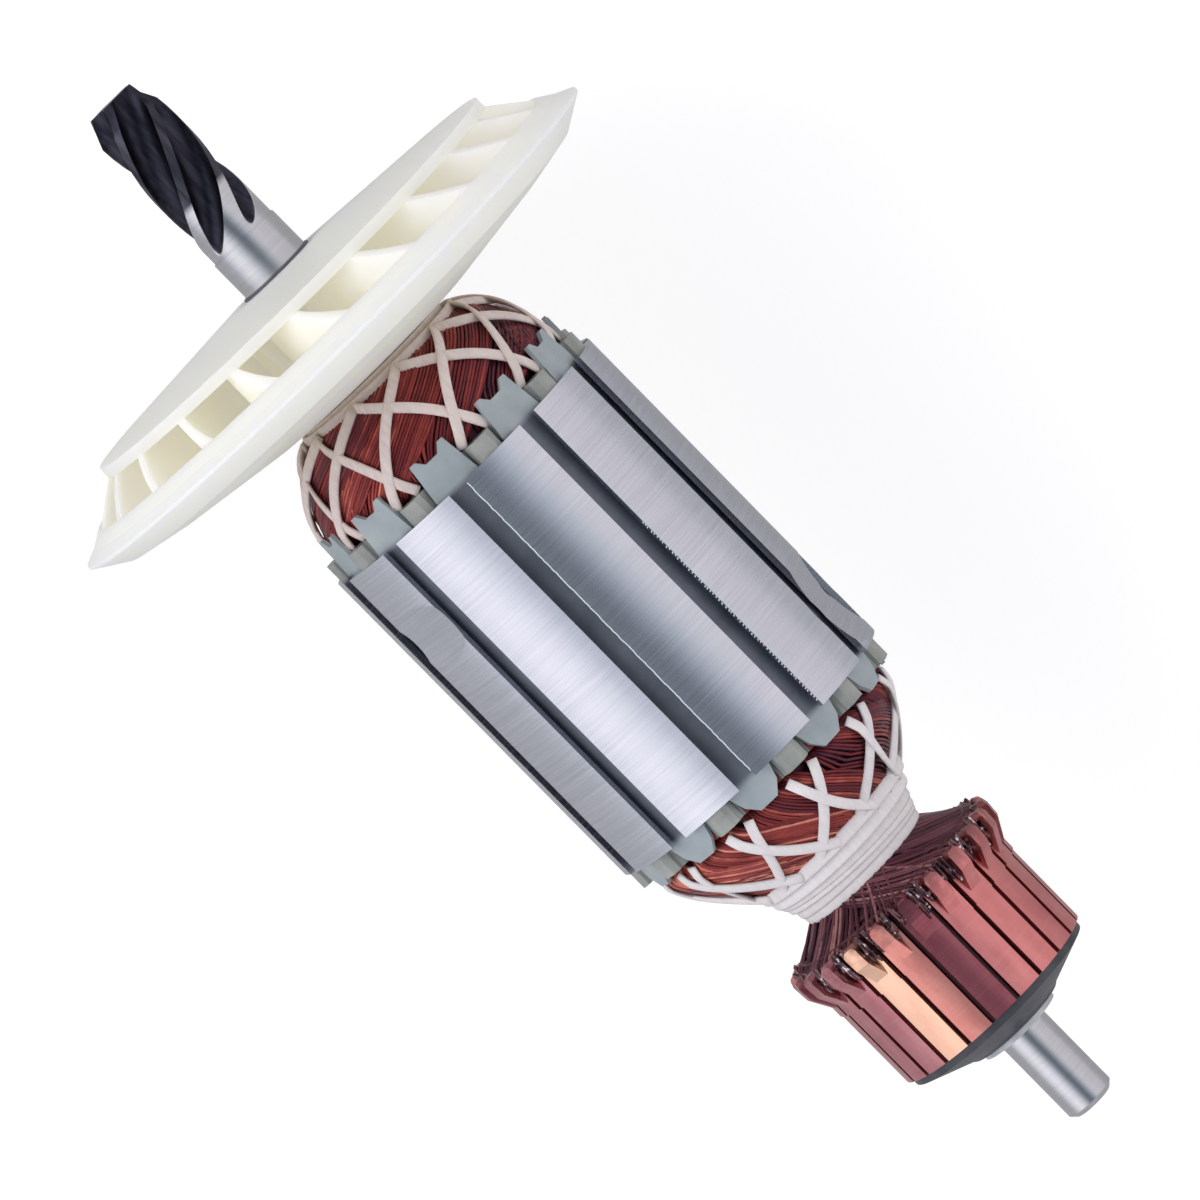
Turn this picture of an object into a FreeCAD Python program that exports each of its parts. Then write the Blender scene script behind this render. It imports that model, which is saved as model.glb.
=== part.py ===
import FreeCAD, Part
import math
import os
import re
import Sketcher

# Armature of a hand-held power tool: pinion shaft, fan, laced winding on a slotted
# core, and hook commutator. Millimetres. The shaft lies along X, with the pinion
# towards -X and the commutator towards +X. The origin is on the shaft's axis at the
# middle of the drive-end bearing seat. Stations in the sheet are measured along X
# from the drive end of the shaft.

DRIVING_SIZES = {
    # Shaft
    "pinion_length": 23.4,
    "pinion_radius": 4.8,
    "pinion_lead": 63.3,
    "nose_radius": 3.4,
    "nose_length": 3.6,
    "flute_root": 2.6,
    "flute_mouth_half": 2.35,
    "flute_runout": 12.4,
    "journal_radius": 5.0,
    "journal_length": 5.9,
    "fan_seat_radius": 5.3,
    "fan_seat_length": 15.4,
    "core_seat_radius": 4.5,
    "commutator_seat_radius": 3.85,
    "tail_radius": 3.5,
    "tail_length": 13.2,
    "tail_chamfer": 0.7,
    # Fan
    "hub_radius": 8.5,
    "hub_length": 15.0,
    "disc_radius": 32.6,
    "disc_drop": 1.9,
    "disc_wall": 1.5,
    "exit_radius": 38.0,
    "exit_depth": 7.2,
    "rim_radius": 42.2,
    "rim_depth": 9.5,
    "shoulder_radius": 32.0,
    "shoulder_depth": 13.8,
    "eye_radius": 18.0,
    "eye_depth": 15.9,
    "shroud_wall": 1.5,
    "blade_wall": 1.2,
    "blade_inner_radius": 17.0,
    # Core
    "core_gap": 32.9,
    "core_length": 50.7,
    "core_radius": 21.7,
    "tooth_width": 4.2,
    "slot_opening": 2.76,
    "lip_depth": 0.9,
    "lip_slope": 0.9,
    "slot_floor_radius": 10.0,
    # Balancing cuts
    "short_cut_station": 11.6,
    "short_cut_length": 8.4,
    "short_cut_depth": 0.9,
    "long_cut_station": 43.0,
    "long_cut_length": 15.0,
    "long_cut_depth": 1.4,
    # Insulation
    "sleeve_wall": 1.3,
    "sleeve_proud": 0.9,
    "liner_wall": 0.35,
    "wedge_wall": 0.6,
    "wedge_front_proud": 5.6,
    "wedge_rear_proud": 3.9,
    "wedge_hollow": 1.1,
    "wedge_round": 1.6,
    "front_insulator_wall": 2.5,
    "rear_insulator_wall": 2.9,
    "insulator_head_width": 3.5,
    "insulator_head_drop": 0.5,
    # Winding
    "front_dome_length": 13.4,
    "rear_dome_length": 17.2,
    "front_nose_radius": 9.0,
    "neck_radius": 9.0,
    "bundle_relief": 0.5,
    "lead_radius": 0.5,
    # Lacing
    "lace_width": 1.5,
    "lace_wall": 0.5,
    "lace_lift": 0.25,
    # Commutator
    "commutator_gap": 24.3,
    "bar_length": 19.2,
    "bar_depth": 4.0,
    "bar_slit": 0.7,
    "commutator_radius": 14.85,
    "riser_length": 7.4,
    "riser_step": 0.2,
    "hook_width": 2.1,
    "hook_wall": 0.7,
    "hook_reach": 6.0,
    "hook_room": 1.0,
    "slit_undercut": 0.9,
    "flange_radius": 14.2,
    "flange_length": 1.1,
    "moulding_proud": 4.2,
    "moulding_end_radius": 7.6,
    # Clearance between pieces that are pressed, slid or wound together
    "fit_gap": 0.03,
}

PINION_TEETH = 5
BLADES = 20
SLOTS = 11
BARS = 2 * SLOTS
LACE_WRAPS = 3

# Turns about the shaft, in degrees from +Z towards -Y
SLOT_PHASE = 7.5
BAR_PHASE = -17.4
PINION_PHASE = 44.3
SHORT_CUT_TURN = 56.5
LONG_CUT_TURN = -74.4

AXIS = FreeCAD.Vector(1, 0, 0)
FULL_TURN = 360.0
ALONG = "XY_Plane"
UPRIGHT = "XZ_Plane"
ACROSS = "YZ_Plane"

# Shapes that follow curves: degrees of turn, or a power without a unit
RUNOUT_TURN = 18.0
BLADE_SWEEP = -24.0
BLADE_LEAN = 45.0
DOME_FULLNESS = 1.85
DOME_TWIST = 40.0
LEAD_LAG = 26.0
LEAD_SIDES = 4
# A cord starts this far beside its tooth, then turns with its share of the dome's
# length and with the fourth power of that share
FRONT_LACE = {"spread": 6.4, "sweep": 22.0, "curl": 26.0}
REAR_LACE = {"spread": 7.3, "sweep": 20.0, "curl": 90.0}
LACE_STEPS = 4
# Heights of the wraps and of the valleys between them, in walls of cord
WRAP_CREST = 2.3
WRAP_VALLEY = 1.6

doc = FreeCAD.newDocument("armature")
sheet = doc.addObject("Spreadsheet::Sheet", "sheet")


# The sheet of sizes

def fill_sheet(sizes, first_row):
    """Give each size a labelled row: its name in column A, its aliased value in B."""
    for row, (alias, value) in enumerate(sizes.items(), start=first_row):
        sheet.set(f"A{row}", alias.replace("_", " "))
        sheet.set(f"B{row}", f"{value:.6f}")
        sheet.setAlias(f"B{row}", alias)
    doc.recompute()


def size(text):
    """Work out a sum of cell names and numbers, such as "bore + 2*wall"."""
    total = 0.0
    sign = 1.0
    for word in text.split():
        if word in ("+", "-"):
            sign = 1.0 if word == "+" else -1.0
            continue
        count, star, name = word.rpartition("*")
        amount = float(sheet.get(name)) if name[0].isalpha() else float(name)
        total += sign * amount * (float(count) if star else 1.0)
    return total


def bound(text):
    """Turn a sum of cell names into an expression that reads the sheet."""
    return re.sub(r"([a-z]\w*)", r"sheet.\1", text)


def slot_half_width(radius, inset):
    """Half the slot's width at a radius, less an inset from the tooth's flank."""
    half_pitch = math.radians(FULL_TURN / SLOTS / 2)
    flank = DRIVING_SIZES["tooth_width"] / 2 + inset
    return (radius * math.sin(half_pitch) - flank) / math.cos(half_pitch)


def cut_curve(length, depth):
    """Radius of a cutter that leaves a hollow of this length and depth."""
    return (length ** 2 / 4 + depth ** 2) / (2 * depth)


def derived_sizes(given):
    """Stations along the shaft and radii that follow from the driving sizes."""
    found = {}
    gap = given["fit_gap"]
    found["fan_front"] = given["pinion_length"] + given["journal_length"]
    found["fan_seat_end"] = found["fan_front"] + given["fan_seat_length"]
    found["core_start"] = found["fan_front"] + given["core_gap"]
    found["core_end"] = found["core_start"] + given["core_length"]
    found["bar_front"] = found["core_end"] + given["commutator_gap"]
    found["bar_end"] = found["bar_front"] + given["bar_length"]
    found["track_start"] = found["bar_front"] + given["riser_length"]
    found["moulding_end"] = found["bar_end"] + given["moulding_proud"]
    found["tail_start"] = found["moulding_end"] + given["sleeve_proud"]
    found["shaft_end"] = found["tail_start"] + given["tail_length"]
    found["shaft_step"] = (found["core_end"] + found["bar_front"]) / 2

    found["disc_front"] = found["fan_front"] + given["disc_drop"]
    found["disc_back"] = found["disc_front"] + given["disc_wall"]
    found["exit_station"] = found["fan_front"] + given["exit_depth"]
    found["rim_station"] = found["fan_front"] + given["rim_depth"]
    found["shoulder_station"] = found["fan_front"] + given["shoulder_depth"]
    found["eye_station"] = found["fan_front"] + given["eye_depth"]

    found["sleeve_radius"] = given["core_seat_radius"] + given["sleeve_wall"]
    found["slot_lip"] = given["core_radius"] - given["lip_depth"]
    found["slot_shoulder"] = found["slot_lip"] - given["lip_slope"]
    found["slot_foot"] = given["slot_floor_radius"] + 1.0
    found["slot_shoulder_half"] = slot_half_width(found["slot_shoulder"], 0)
    found["slot_foot_half"] = slot_half_width(found["slot_foot"], 0)
    found["slot_mouth_half"] = given["slot_opening"] / 2

    found["wedge_top"] = found["slot_shoulder"] - gap
    found["wedge_floor"] = found["wedge_top"] - given["wedge_wall"]
    found["wedge_half"] = slot_half_width(found["wedge_floor"], gap)
    found["wedge_tab_half"] = found["wedge_half"] - 0.7
    found["liner_top"] = found["wedge_floor"] - gap
    found["liner_floor"] = given["slot_floor_radius"] + gap
    found["liner_top_half"] = slot_half_width(found["liner_top"], gap)
    found["liner_foot_half"] = slot_half_width(found["slot_foot"], gap)
    lining = gap + given["liner_wall"]
    found["liner_bore_floor"] = found["liner_floor"] + given["liner_wall"]
    found["liner_bore_top_half"] = slot_half_width(found["liner_top"], lining)
    found["liner_bore_foot_half"] = slot_half_width(found["slot_foot"], lining)

    found["bar_inner"] = given["commutator_radius"] - given["bar_depth"]
    found["riser_radius"] = given["commutator_radius"] + given["riser_step"]
    found["hook_floor"] = found["riser_radius"] + given["hook_room"]
    found["hook_top"] = found["hook_floor"] + given["hook_wall"]
    slit_angle = math.asin(given["bar_slit"] / given["commutator_radius"])
    found["bar_sweep"] = FULL_TURN / BARS - math.degrees(slit_angle)
    found["rib_half"] = found["bar_inner"] * math.sin(slit_angle / 2) - gap
    found["rib_top"] = given["commutator_radius"] - given["slit_undercut"]

    found["short_cut_curve"] = cut_curve(given["short_cut_length"], given["short_cut_depth"])
    found["long_cut_curve"] = cut_curve(given["long_cut_length"], given["long_cut_depth"])
    return found


fill_sheet(DRIVING_SIZES, 1)
fill_sheet(derived_sizes(DRIVING_SIZES), len(DRIVING_SIZES) + 2)


# Tools for drawing and placing

def vector(along, across=0.0, up=0.0):
    return FreeCAD.Vector(along, across, up)


def turned(point, degrees):
    return FreeCAD.Rotation(AXIS, degrees).multVec(point)


def seat(item, label, turn=0.0):
    """Name a finished piece, turn it about the shaft and set the origin."""
    item.Label = label
    origin_station = size("pinion_length + 0.5*journal_length")
    item.Placement = FreeCAD.Placement(vector(-origin_station), FreeCAD.Rotation(AXIS, turn))
    return item


def new_body(name):
    return doc.addObject("PartDesign::Body", name)


def hold(sketch, kind, geometry, position, text):
    """Hold one coordinate of a point at a sum of cells."""
    constraint = Sketcher.Constraint(kind, -1, 1, geometry, position, size(text))
    index = sketch.addConstraint(constraint)
    if re.search("[a-z]", text):
        sketch.setExpression(f"Constraints[{index}]", bound(text))


def draw(body, name, plane, outline, station="0"):
    """Close an outline through its corners, each two sums of cells.

    An entry with "bend" as its third item is a point that an arc passes through
    between the corners before and after it.
    """
    sketch = body.newObject("Sketcher::SketchObject", name)
    base = [item for item in body.Origin.OriginFeatures if item.Role == plane][0]
    sketch.AttachmentSupport = (base, [""])
    sketch.MapMode = "FlatFace"
    if station != "0":
        sketch.AttachmentOffset = FreeCAD.Placement(vector(0, 0, size(station)), FreeCAD.Rotation())
        sketch.setExpression("AttachmentOffset.Base.z", bound(station))

    corners = [entry for entry in outline if len(entry) == 2]
    bends = {}
    for entry in outline:
        if len(entry) == 3:
            bends[outline[outline.index(entry) - 1]] = entry
    ends = []
    for number, corner in enumerate(corners):
        after = corners[(number + 1) % len(corners)]
        start = vector(size(corner[0]), size(corner[1]))
        finish = vector(size(after[0]), size(after[1]))
        if corner in bends:
            middle = vector(size(bends[corner][0]), size(bends[corner][1]))
            leftward = (middle - start).cross(finish - middle).z > 0
            arc = Part.Arc(start, middle, finish) if leftward else Part.Arc(finish, middle, start)
            edge = sketch.addGeometry(arc, False)
            ends.append((edge, 1, 2) if leftward else (edge, 2, 1))
        else:
            edge = sketch.addGeometry(Part.LineSegment(start, finish), False)
            ends.append((edge, 1, 2))
    for number, (edge, first, last) in enumerate(ends):
        after = ends[(number + 1) % len(ends)]
        sketch.addConstraint(Sketcher.Constraint("Coincident", edge, last, after[0], after[1]))
    for (edge, first, last), corner in zip(ends, corners):
        hold(sketch, "DistanceX", edge, first, corner[0])
        hold(sketch, "DistanceY", edge, first, corner[1])
        if corner in bends:
            middle = vector(size(bends[corner][0]), size(bends[corner][1]))
            mark = sketch.addGeometry(Part.Point(middle), True)
            hold(sketch, "DistanceX", mark, 1, bends[corner][0])
            hold(sketch, "DistanceY", mark, 1, bends[corner][1])
            sketch.addConstraint(Sketcher.Constraint("PointOnObject", mark, 1, edge))
    return sketch


def mirrored(half_outline):
    """Complete an outline that is the same on both sides of its second axis."""
    other = []
    for entry in reversed(half_outline):
        across = entry[0]
        if across == "0":
            continue
        flipped = "0 - " + across.replace("-", "~").replace("+", "-").replace("~", "+")
        other.append((flipped,) + entry[1:])
    return half_outline + other


def draw_circle(body, name, plane, radius, station):
    sketch = body.newObject("Sketcher::SketchObject", name)
    base = [item for item in body.Origin.OriginFeatures if item.Role == plane][0]
    sketch.AttachmentSupport = (base, [""])
    sketch.MapMode = "FlatFace"
    sketch.AttachmentOffset = FreeCAD.Placement(vector(0, 0, size(station)), FreeCAD.Rotation())
    sketch.setExpression("AttachmentOffset.Base.z", bound(station))
    circle = Part.Circle(vector(0, 0), vector(0, 0, 1), size(radius))
    edge = sketch.addGeometry(circle, False)
    sketch.addConstraint(Sketcher.Constraint("Coincident", edge, 3, -1, 1))
    index = sketch.addConstraint(Sketcher.Constraint("Radius", edge, size(radius)))
    sketch.setExpression(f"Constraints[{index}]", bound(radius))
    return sketch


def revolve(body, name, sketch, kind="Revolution", sweep=None):
    feature = body.newObject(f"PartDesign::{kind}", name)
    feature.Profile = sketch
    feature.ReferenceAxis = (sketch, ["H_Axis"])
    feature.Angle = FULL_TURN
    if sweep:
        feature.Angle = size(sweep)
        feature.setExpression("Angle", bound(sweep))
        feature.Midplane = True
    sketch.Visibility = False
    return feature


def extrude(body, name, sketch, length, kind="Pad", midplane=False):
    feature = body.newObject(f"PartDesign::{kind}", name)
    feature.Profile = sketch
    feature.Length = size(length)
    feature.setExpression("Length", bound(length))
    feature.Midplane = midplane
    sketch.Visibility = False
    return feature


def repeat(body, name, feature, count):
    """Repeat a feature round the shaft's axis."""
    doc.recompute()
    pattern = body.newObject("PartDesign::PolarPattern", name)
    pattern.Originals = [feature]
    axis = [item for item in body.Origin.OriginFeatures if item.Role == "X_Axis"][0]
    pattern.Axis = (axis, [""])
    pattern.Angle = FULL_TURN
    pattern.Occurrences = count
    body.Tip = pattern
    return pattern


def cut_away(name, base, tools):
    """Take one or more tools away from a base piece."""
    for number, tool in enumerate(tools, start=1):
        cut = doc.addObject("Part::Cut", f"{name}_{number}")
        cut.Base = base
        cut.Tool = tool
        base = cut
    return base


def copies(master, label, count, phase):
    """Set a piece and its copies round the shaft, each a node of its own."""
    doc.recompute()
    placed = [seat(master, f"{label}_01", phase)]
    for number in range(2, count + 1):
        copy = doc.addObject("Part::Feature", f"{label}_{number:02d}")
        shape = master.Shape.copy()
        shape.Placement = FreeCAD.Placement()
        copy.Shape = shape
        turn = phase + (number - 1) * FULL_TURN / count
        placed.append(seat(copy, f"{label}_{number:02d}", turn))
    return placed


def skin(rings):
    """Solid with flat facets over rings that have the same number of points."""
    faces = []
    count = len(rings[0])
    for near, far in zip(rings, rings[1:]):
        for number in range(count):
            after = (number + 1) % count
            faces.append(Part.Face(Part.makePolygon([near[number], near[after], far[after],
                                                     near[number]])))
            faces.append(Part.Face(Part.makePolygon([near[number], far[after], far[number],
                                                     near[number]])))
    for ring in (rings[0], rings[-1]):
        faces.append(Part.Face(Part.makePolygon(ring + [ring[0]])))
    shell = Part.Shell(faces)
    shell.sewShape()
    solid = Part.Solid(shell)
    if solid.Volume < 0:
        solid.reverse()
    return solid


# Pinion shaft

def flute_section(station, lift, extra_turn):
    """Space between two pinion teeth, turned by the helix at this station."""
    mouth = size("flute_mouth_half")
    root = size("flute_root") + lift
    top = size("pinion_radius + 1") + lift
    turn = PINION_PHASE + FULL_TURN * station / size("pinion_lead") + extra_turn

    def spot(across, up):
        return turned(vector(station, across, up), turn)

    floor = Part.Arc(spot(-mouth, top), spot(0, root), spot(mouth, top))
    lid = Part.LineSegment(spot(mouth, top), spot(-mouth, top))
    return Part.Wire([floor.toShape(), lid.toShape()])


def flute_cutter():
    """One tooth space: full depth from the nose, then rising out of the shaft."""
    length = size("pinion_length")
    rise_start = length - size("flute_runout")
    full_rise = size("pinion_radius - flute_root + 0.2")
    before_nose = -1.0
    deep_steps = 2
    rise_steps = 4
    sections = []
    for step in range(deep_steps):
        station = before_nose + (rise_start - before_nose) * step / deep_steps
        sections.append(flute_section(station, 0.0, 0.0))
    for step in range(rise_steps + 1):
        share = step / rise_steps
        station = rise_start + size("flute_runout") * share
        sections.append(flute_section(station, full_rise * share ** 2, RUNOUT_TURN * share ** 2))
    return Part.makeLoft(sections, True, False)


def make_shaft():
    body = new_body("shaft_blank")
    outline = [
        ("0", "0"),
        ("0", "nose_radius"),
        ("nose_length", "pinion_radius"),
        ("pinion_length", "pinion_radius"),
        ("pinion_length", "journal_radius"),
        ("fan_front", "journal_radius"),
        ("fan_front", "fan_seat_radius"),
        ("fan_seat_end", "fan_seat_radius"),
        ("fan_seat_end", "core_seat_radius"),
        ("shaft_step", "core_seat_radius"),
        ("shaft_step", "commutator_seat_radius"),
        ("tail_start", "commutator_seat_radius"),
        ("tail_start", "tail_radius"),
        ("shaft_end - tail_chamfer", "tail_radius"),
        ("shaft_end", "tail_radius - tail_chamfer"),
        ("shaft_end", "0"),
    ]
    revolve(body, "turned_shaft", draw(body, "shaft_section", ALONG, outline))
    cutter = flute_cutter()
    spaces = []
    for tooth in range(PINION_TEETH):
        space = cutter.copy()
        space.rotate(vector(0), AXIS, tooth * FULL_TURN / PINION_TEETH)
        spaces.append(space)
    flutes = doc.addObject("Part::Feature", "pinion_flutes")
    flutes.Shape = Part.Compound(spaces)
    return [seat(cut_away("cut_pinion", body, [flutes]), "pinion_shaft")]


# Insulation on the shaft

def make_sleeve():
    body = new_body("sleeve")
    outline = [
        ("fan_seat_end + fit_gap", "core_seat_radius + fit_gap"),
        ("fan_seat_end + fit_gap", "sleeve_radius"),
        ("tail_start", "sleeve_radius"),
        ("tail_start", "commutator_seat_radius + fit_gap"),
        ("shaft_step + fit_gap", "commutator_seat_radius + fit_gap"),
        ("shaft_step + fit_gap", "core_seat_radius + fit_gap"),
    ]
    revolve(body, "turned_sleeve", draw(body, "sleeve_section", ALONG, outline))
    return [seat(body, "insulating_sleeve")]


# Slotted core

def balancing_cutter(kind, turn):
    """A milling cutter across one tooth, its axis along the tooth's width."""
    cutter = doc.addObject("Part::Cylinder", f"{kind}_balancing_cutter")
    cutter.Radius = size(f"{kind}_cut_curve")
    cutter.setExpression("Radius", bound(f"{kind}_cut_curve"))
    cutter.Height = size("tooth_width + core_radius - slot_floor_radius")
    cutter.setExpression("Height", bound("tooth_width + core_radius - slot_floor_radius"))
    height = size(f"core_radius - {kind}_cut_depth + {kind}_cut_curve")
    centre = vector(size(f"core_start + {kind}_cut_station"), cutter.Height.Value / 2, height)
    across = FreeCAD.Rotation(AXIS, 90)
    about_shaft = FreeCAD.Rotation(AXIS, turn - SLOT_PHASE)
    cutter.Placement = FreeCAD.Placement(about_shaft.multVec(centre), about_shaft * across)
    return cutter


def make_core():
    body = new_body("sheet_stack")
    disc = draw_circle(body, "stack_circle", ACROSS, "core_radius", "core_start")
    extrude(body, "pressed_stack", disc, "core_length")
    bore = draw_circle(body, "bore_circle", ACROSS, "sleeve_radius + fit_gap", "core_start")
    bore_pocket = extrude(body, "stack_bore", bore, "core_length", "Pocket")
    bore_pocket.Reversed = True
    outline = mirrored([
        ("0.4*slot_foot_half", "slot_floor_radius"),
        ("slot_foot_half", "slot_foot"),
        ("slot_shoulder_half", "slot_shoulder"),
        ("slot_mouth_half", "slot_lip"),
        ("slot_mouth_half", "core_radius + 1"),
    ])
    slot = extrude(body, "slot", draw(body, "slot_outline", ACROSS, outline, "core_start"),
                   "core_length", "Pocket")
    slot.Reversed = True
    repeat(body, "slots", slot, SLOTS)
    cutters = [balancing_cutter("short", SHORT_CUT_TURN), balancing_cutter("long", LONG_CUT_TURN)]
    return [seat(cut_away("balanced_stack", body, cutters), "lamination_stack", SLOT_PHASE)]


def make_insulator(name, start, wall, label):
    """Star of insulating moulding that covers one end of the stack."""
    body = new_body(name)
    ring = draw_circle(body, f"{name}_circle", ACROSS, "slot_floor_radius - 0.3", start)
    extrude(body, f"{name}_ring", ring, wall)
    half_arm = [
        ("0.5*tooth_width - fit_gap", "sleeve_radius + 1"),
        ("0.5*tooth_width - fit_gap", "slot_shoulder - 0.5"),
        ("0.5*insulator_head_width", "slot_shoulder"),
        ("0.5*insulator_head_width", "core_radius - insulator_head_drop - 0.8"),
        ("0.3*insulator_head_width", "core_radius - insulator_head_drop"),
    ]
    arm_sketch = draw(body, f"{name}_arm_outline", ACROSS, mirrored(half_arm), start)
    arm = extrude(body, f"{name}_arm", arm_sketch, wall)
    repeat(body, f"{name}_arms", arm, SLOTS)
    bore = draw_circle(body, f"{name}_bore_circle", ACROSS, "sleeve_radius + fit_gap", start)
    pocket = extrude(body, f"{name}_bore", bore, wall, "Pocket")
    pocket.Reversed = True
    return [seat(body, label, SLOT_PHASE + FULL_TURN / SLOTS / 2)]


def make_insulators():
    front_start = "core_start - front_insulator_wall"
    front = make_insulator("front_star", front_start, "front_insulator_wall", "drive_end_insulator")
    rear = make_insulator("rear_star", "core_end", "rear_insulator_wall", "commutator_end_insulator")
    return front + rear


def make_liners():
    """Folded sheet that lines each slot, its legs under the wedge."""
    body = new_body("slot_liner")
    outline = [
        ("liner_top_half", "liner_top"),
        ("liner_foot_half", "slot_foot"),
        ("0.4*liner_foot_half", "liner_floor + 0.1"),
        ("0 - 0.4*liner_foot_half", "liner_floor + 0.1"),
        ("0 - liner_foot_half", "slot_foot"),
        ("0 - liner_top_half", "liner_top"),
        ("0 - liner_bore_top_half", "liner_top"),
        ("0 - liner_bore_foot_half", "slot_foot"),
        ("0 - 0.4*liner_bore_foot_half", "liner_bore_floor + 0.1"),
        ("0.4*liner_bore_foot_half", "liner_bore_floor + 0.1"),
        ("liner_bore_foot_half", "slot_foot"),
        ("liner_bore_top_half", "liner_top"),
    ]
    sketch = draw(body, "liner_outline", ACROSS, outline, "core_start - front_insulator_wall")
    extrude(body, "liner_strip", sketch, "core_length + front_insulator_wall + rear_insulator_wall")
    return copies(body, "slot_liner", SLOTS, SLOT_PHASE)


def make_wedges():
    """Fibre strip that closes each slot, hollowed at one end and rounded at the other."""
    body = new_body("slot_wedge")
    front = "core_start - wedge_front_proud"
    rear = "core_end + wedge_rear_proud"
    outline = [
        (front, "0 - wedge_tab_half"),
        (front, "0 - 0.7*wedge_tab_half"),
        (front + " + wedge_hollow", "0 - 0.35*wedge_tab_half"),
        (front + " + wedge_hollow", "0.35*wedge_tab_half"),
        (front, "0.7*wedge_tab_half"),
        (front, "wedge_tab_half"),
        ("core_start", "wedge_half"),
        ("core_end", "wedge_half"),
        (rear + " - wedge_round", "wedge_tab_half"),
        (rear, "0.5*wedge_tab_half"),
        (rear, "0 - 0.5*wedge_tab_half"),
        (rear + " - wedge_round", "0 - wedge_tab_half"),
        ("core_end", "0 - wedge_half"),
        ("core_start", "0 - wedge_half"),
    ]
    sketch = draw(body, "wedge_outline", ALONG, outline, "wedge_floor")
    extrude(body, "wedge_strip", sketch, "wedge_wall")
    return copies(body, "slot_wedge", SLOTS, SLOT_PHASE)


# Fan

def blade_outline():
    """Swept-back blade: its two sides as arcs, from the hub side to the rim."""
    inner = size("blade_inner_radius")
    outer = size("exit_radius + 1")
    wall = size("blade_wall") / 2
    lags = ((inner, 0.0), ((inner + outer) / 2, BLADE_SWEEP * 0.36), (outer, BLADE_SWEEP))
    sides = []
    for side in (-1, 1):
        points = []
        for radius, lag in lags:
            slant = math.radians(BLADE_LEAN * (radius - inner) / (outer - inner))
            angle = math.radians(lag) + side * wall / (radius * math.cos(slant))
            points.append((radius * math.cos(angle), radius * math.sin(angle)))
        sides.append(points)
    near, far = sides
    entries = [near[0], near[1] + ("bend",), near[2], far[2], far[1] + ("bend",), far[0]]
    return [(f"{entry[0]:.5f}", f"{entry[1]:.5f}") + entry[2:] for entry in entries]


def make_fan():
    body = new_body("fan")
    hub_outline = [
        ("fan_front", "fan_seat_radius + fit_gap"),
        ("fan_front", "hub_radius"),
        ("disc_front", "disc_radius"),
        ("disc_back", "disc_radius"),
        ("fan_front + disc_wall + 0.2*disc_drop", "hub_radius"),
        ("fan_front + hub_length", "hub_radius - 0.8"),
        ("fan_front + hub_length", "fan_seat_radius + fit_gap"),
    ]
    revolve(body, "hub_and_disc", draw(body, "hub_section", ALONG, hub_outline))
    blade_start = "disc_front + 0.1*disc_wall"
    blade_sketch = draw(body, "blade_outline", ACROSS, blade_outline(), blade_start)
    blade = extrude(body, "blade", blade_sketch, "eye_depth - disc_drop")
    repeat(body, "blades", blade, BLADES)
    trim_outline = [
        ("fan_front", "disc_radius"),
        ("disc_back", "disc_radius"),
        ("exit_station + 0.4", "exit_radius"),
        ("shoulder_station - 0.5*shroud_wall", "shoulder_radius"),
        ("eye_station - 0.5*shroud_wall", "eye_radius"),
        ("eye_station - shroud_wall", "eye_radius"),
        ("eye_station - shroud_wall", "0.5*hub_radius + 0.5*blade_inner_radius"),
        ("eye_station + 4", "0.5*hub_radius + 0.5*blade_inner_radius"),
        ("eye_station + 4", "rim_radius + 4"),
        ("fan_front", "rim_radius + 4"),
    ]
    revolve(body, "blade_trim", draw(body, "trim_section", ALONG, trim_outline), "Groove")
    shroud_outline = [
        ("eye_station", "eye_radius"),
        ("shoulder_station", "shoulder_radius"),
        ("0.5*shoulder_station + 0.5*rim_station + 0.9", "0.5*shoulder_radius + 0.5*rim_radius + 0.9"),
        ("rim_station + 0.4", "rim_radius"),
        ("rim_station", "rim_radius"),
        ("0.5*rim_station + 0.5*exit_station + 0.2", "0.5*rim_radius + 0.5*exit_radius"),
        ("exit_station", "exit_radius"),
        ("shoulder_station - shroud_wall - 0.3", "shoulder_radius"),
        ("eye_station - shroud_wall", "eye_radius"),
    ]
    revolve(body, "shroud", draw(body, "shroud_section", ALONG, shroud_outline))
    return [seat(body, "fan")]


# Commutator

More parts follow.
